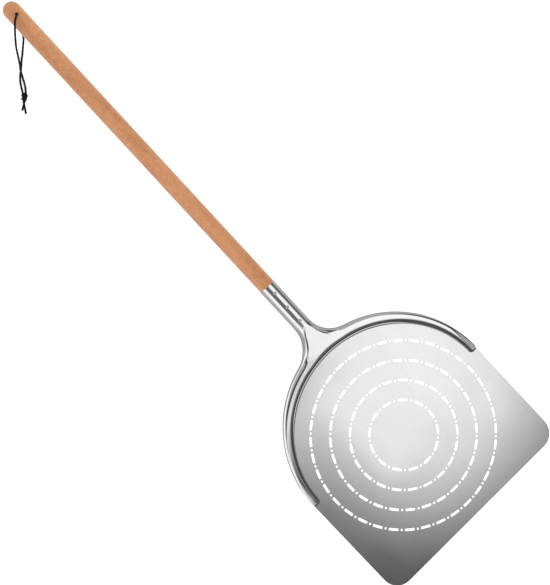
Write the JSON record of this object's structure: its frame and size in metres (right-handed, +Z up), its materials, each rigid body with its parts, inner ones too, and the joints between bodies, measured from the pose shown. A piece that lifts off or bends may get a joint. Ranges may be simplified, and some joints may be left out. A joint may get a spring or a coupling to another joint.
{
  "type": "pizza peel",
  "caption": "Pizza peel with a flat perforated steel blade, a pressed steel yoke and tube neck, a round wooden handle and a black leather hanging thong.",
  "frame": {"origin": "middle of the blade's rings of openings, on the blade's flat underside", "axes": "+Y from the handle towards the blade's leading edge, +Z up from the face that rests on a table, +X to the right seen from the handle"},
  "size_m": [0.306, 0.9126, 0.0723],
  "materials": {
    "blade_steel": "satin",
    "yoke_steel": "polished",
    "nail_steel": "polished",
    "beech": "satin",
    "black_leather": "satin"
  },
  "bodies": {
    "peel": {"blade": "blade_steel", "yoke": "yoke_steel", "neck_socket": "yoke_steel", "nail_front": "nail_steel", "nail_middle": "nail_steel", "nail_rear": "nail_steel", "handle": "beech"},
    "hang_loop": {"thong_upper": "black_leather", "thong_lower": "black_leather", "thong_knot": "black_leather"}
  },
  "joints": [
    {"name": "loop_swing", "type": "hinge", "parent": "peel", "child": "hang_loop", "pos_m": [0, -0.746, 0.053], "axis": [0, 0, 1], "range_deg": [-284, 0]}
  ]
}
